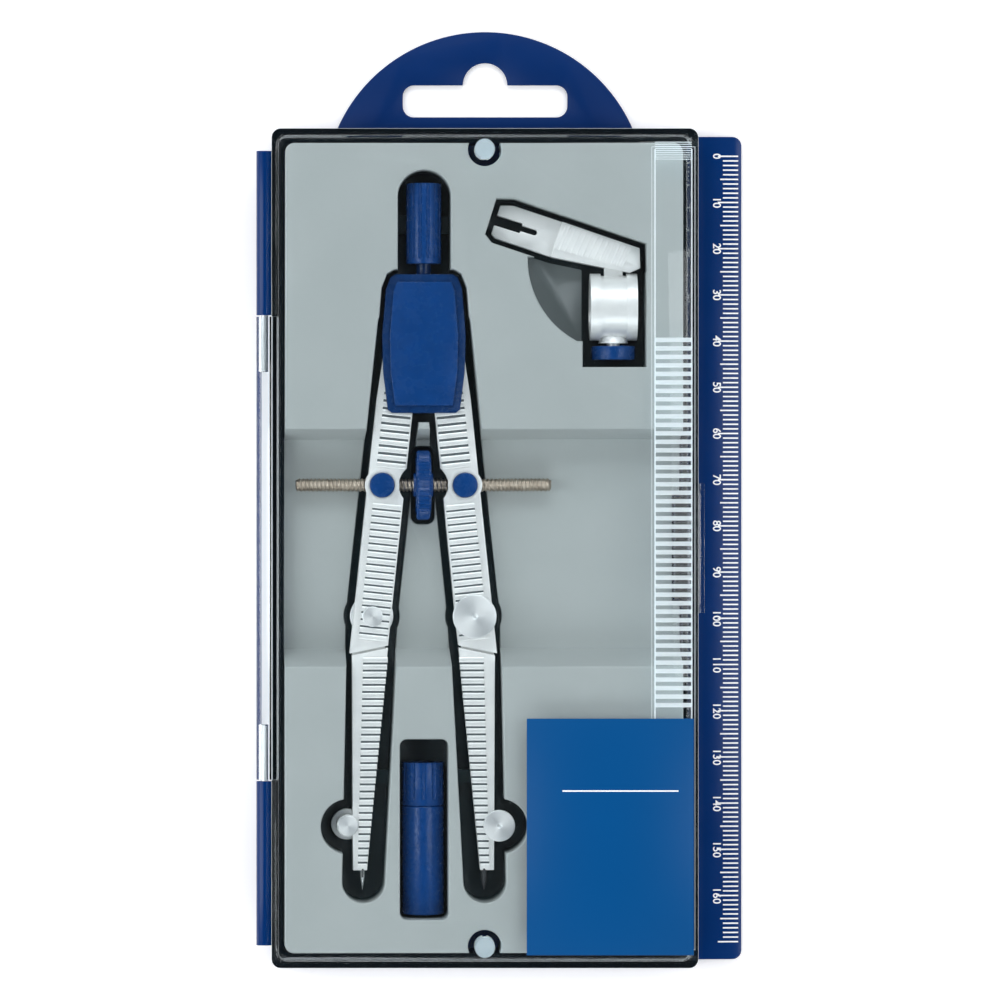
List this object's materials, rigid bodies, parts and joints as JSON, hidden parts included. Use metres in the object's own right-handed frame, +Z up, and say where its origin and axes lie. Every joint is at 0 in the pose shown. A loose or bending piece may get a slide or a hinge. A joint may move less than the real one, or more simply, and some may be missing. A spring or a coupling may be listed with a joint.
{
  "type": "drafting instrument case",
  "caption": "Flat hinged case with a clear lid, ruler edge and hanging tab, whose formed tray holds a centre-wheel bow compass, a pen adapter and a lead tube.",
  "frame": {"origin": "middle of the underside of the case body, on the surface it lies on", "axes": "+X across the case towards the ruler edge, +Y along it towards the hanging tab, +Z up through the lid"},
  "size_m": [0.1049, 0.2022, 0.0202],
  "materials": {
    "blue_case": "glossy moulded polystyrene",
    "blue_tab": "flat plastic sheet",
    "clear_lid": "clear moulded polystyrene",
    "grey_tray": "fine satin grain",
    "silver_metal": "satin plated die casting",
    "bright_steel": "turned",
    "plated_steel": "rolled thread, nickel plated",
    "blue_plastic": "semi-gloss moulded",
    "blue_label": "printed film",
    "graphite": "soft sheen"
  },
  "bodies": {
    "case": {"base_shell": "blue_case", "hang_tab": "blue_tab", "hinge_pins": "bright_steel", "insert_tray": "grey_tray", "handle": "blue_plastic", "handle_stem": "blue_plastic", "head_front": "blue_plastic", "head_rear": "blue_plastic", "head_panel": "blue_plastic", "head_screws": "bright_steel", "leg_pivot_pins": "bright_steel", "adapter_shank": "silver_metal", "adapter_arm": "silver_metal", "pen_ring": "silver_metal", "adapter_rivet": "bright_steel", "lead_tube": "blue_plastic", "spare_leads": "graphite"},
    "lid": {"lid_shell": "clear_lid", "lid_posts": "clear_lid", "price_label": "blue_label"},
    "spindle": {"spindle": "plated_steel", "centre_wheel": "blue_plastic"},
    "left_leg": {"left_upper_leg": "silver_metal"},
    "right_leg": {"right_upper_leg": "silver_metal"},
    "left_nut": {"left_trunnion": "silver_metal", "left_trunnion_cap": "blue_plastic"},
    "right_nut": {"right_trunnion": "silver_metal", "right_trunnion_cap": "blue_plastic"},
    "left_shin": {"left_lower_leg": "silver_metal", "needle": "bright_steel"},
    "right_shin": {"right_lower_leg": "silver_metal", "lead": "graphite"},
    "left_knee_screw": {"left_knee_screw": "bright_steel"},
    "right_knee_screw": {"right_knee_screw": "bright_steel"},
    "needle_clamp_screw": {"needle_clamp_screw": "bright_steel"},
    "lead_clamp_screw": {"lead_clamp_screw": "bright_steel"},
    "tube_cap": {"tube_cap": "blue_plastic"},
    "adapter_knob": {"adapter_screw": "bright_steel", "adapter_knob": "blue_plastic"}
  },
  "joints": [
    {"name": "lid_hinge", "type": "hinge", "parent": "case", "child": "lid", "pos_m": [-0.0476, 0, 0.01], "axis": [0, -1, 0], "range_deg": [0, 180]},
    {"name": "wheel_spin", "type": "hinge", "parent": "case", "child": "spindle", "pos_m": [-0.013, 0.0136, 0.0102], "axis": [1, 0, 0], "range_deg": [-180, 180]},
    {"name": "left_leg_swing", "type": "hinge", "parent": "case", "child": "left_leg", "pos_m": [-0.0175, 0.048, 0.0102], "axis": [0, 0, 1], "range_deg": [-0.69, 0.69]},
    {"name": "right_leg_swing", "type": "hinge", "parent": "case", "child": "right_leg", "pos_m": [-0.0085, 0.048, 0.0102], "axis": [0, 0, 1], "range_deg": [-0.69, 0.69]},
    {"name": "left_nut_turn", "type": "hinge", "parent": "left_leg", "child": "left_nut", "pos_m": [-0.02195, 0.0136, 0.0102], "axis": [0, 0, 1], "range_deg": [-0.69, 0.69]},
    {"name": "right_nut_turn", "type": "hinge", "parent": "right_leg", "child": "right_nut", "pos_m": [-0.00404, 0.0136, 0.0102], "axis": [0, 0, 1], "range_deg": [-0.69, 0.69]},
    {"name": "left_knee_bend", "type": "hinge", "parent": "left_leg", "child": "left_shin", "pos_m": [-0.024, -0.01486, 0.0102], "axis": [0, 0, 1], "range_deg": [-1, 1]},
    {"name": "right_knee_bend", "type": "hinge", "parent": "right_leg", "child": "right_shin", "pos_m": [-0.002, -0.01486, 0.0102], "axis": [0, 0, 1], "range_deg": [-1, 1]},
    {"name": "left_knee_screw_turn", "type": "hinge", "parent": "left_leg", "child": "left_knee_screw", "pos_m": [-0.024, -0.01486, 0.0102], "axis": [0, 0, -1], "range_deg": [0, 180]},
    {"name": "right_knee_screw_turn", "type": "hinge", "parent": "right_leg", "child": "right_knee_screw", "pos_m": [-0.002, -0.01486, 0.0102], "axis": [0, 0, 1], "range_deg": [0, 180]},
    {"name": "needle_clamp_turn", "type": "hinge", "parent": "left_shin", "child": "needle_clamp_screw", "pos_m": [-0.02925, -0.06017, 0.0102], "axis": [0, 0, -1], "range_deg": [0, 180]},
    {"name": "lead_clamp_turn", "type": "hinge", "parent": "right_shin", "child": "lead_clamp_screw", "pos_m": [0.00325, -0.06017, 0.0102], "axis": [0, 0, 1], "range_deg": [0, 180]},
    {"name": "tube_cap_pull", "type": "slide", "parent": "case", "child": "tube_cap", "axis": [0, 1, 0], "range_m": [0, 0.004]},
    {"name": "adapter_knob_turn", "type": "hinge", "parent": "case", "child": "adapter_knob", "pos_m": [0.028, 0.0437, 0.0099], "axis": [0, -1, 0], "range_deg": [0, 180]}
  ],
  "couplings": [
    {"joint": "left_leg_swing", "follows": "wheel_spin", "ratio": -0.003701},
    {"joint": "right_leg_swing", "follows": "wheel_spin", "ratio": 0.003701},
    {"joint": "left_nut_turn", "follows": "wheel_spin", "ratio": 0.003701},
    {"joint": "right_nut_turn", "follows": "wheel_spin", "ratio": -0.003701}
  ]
}
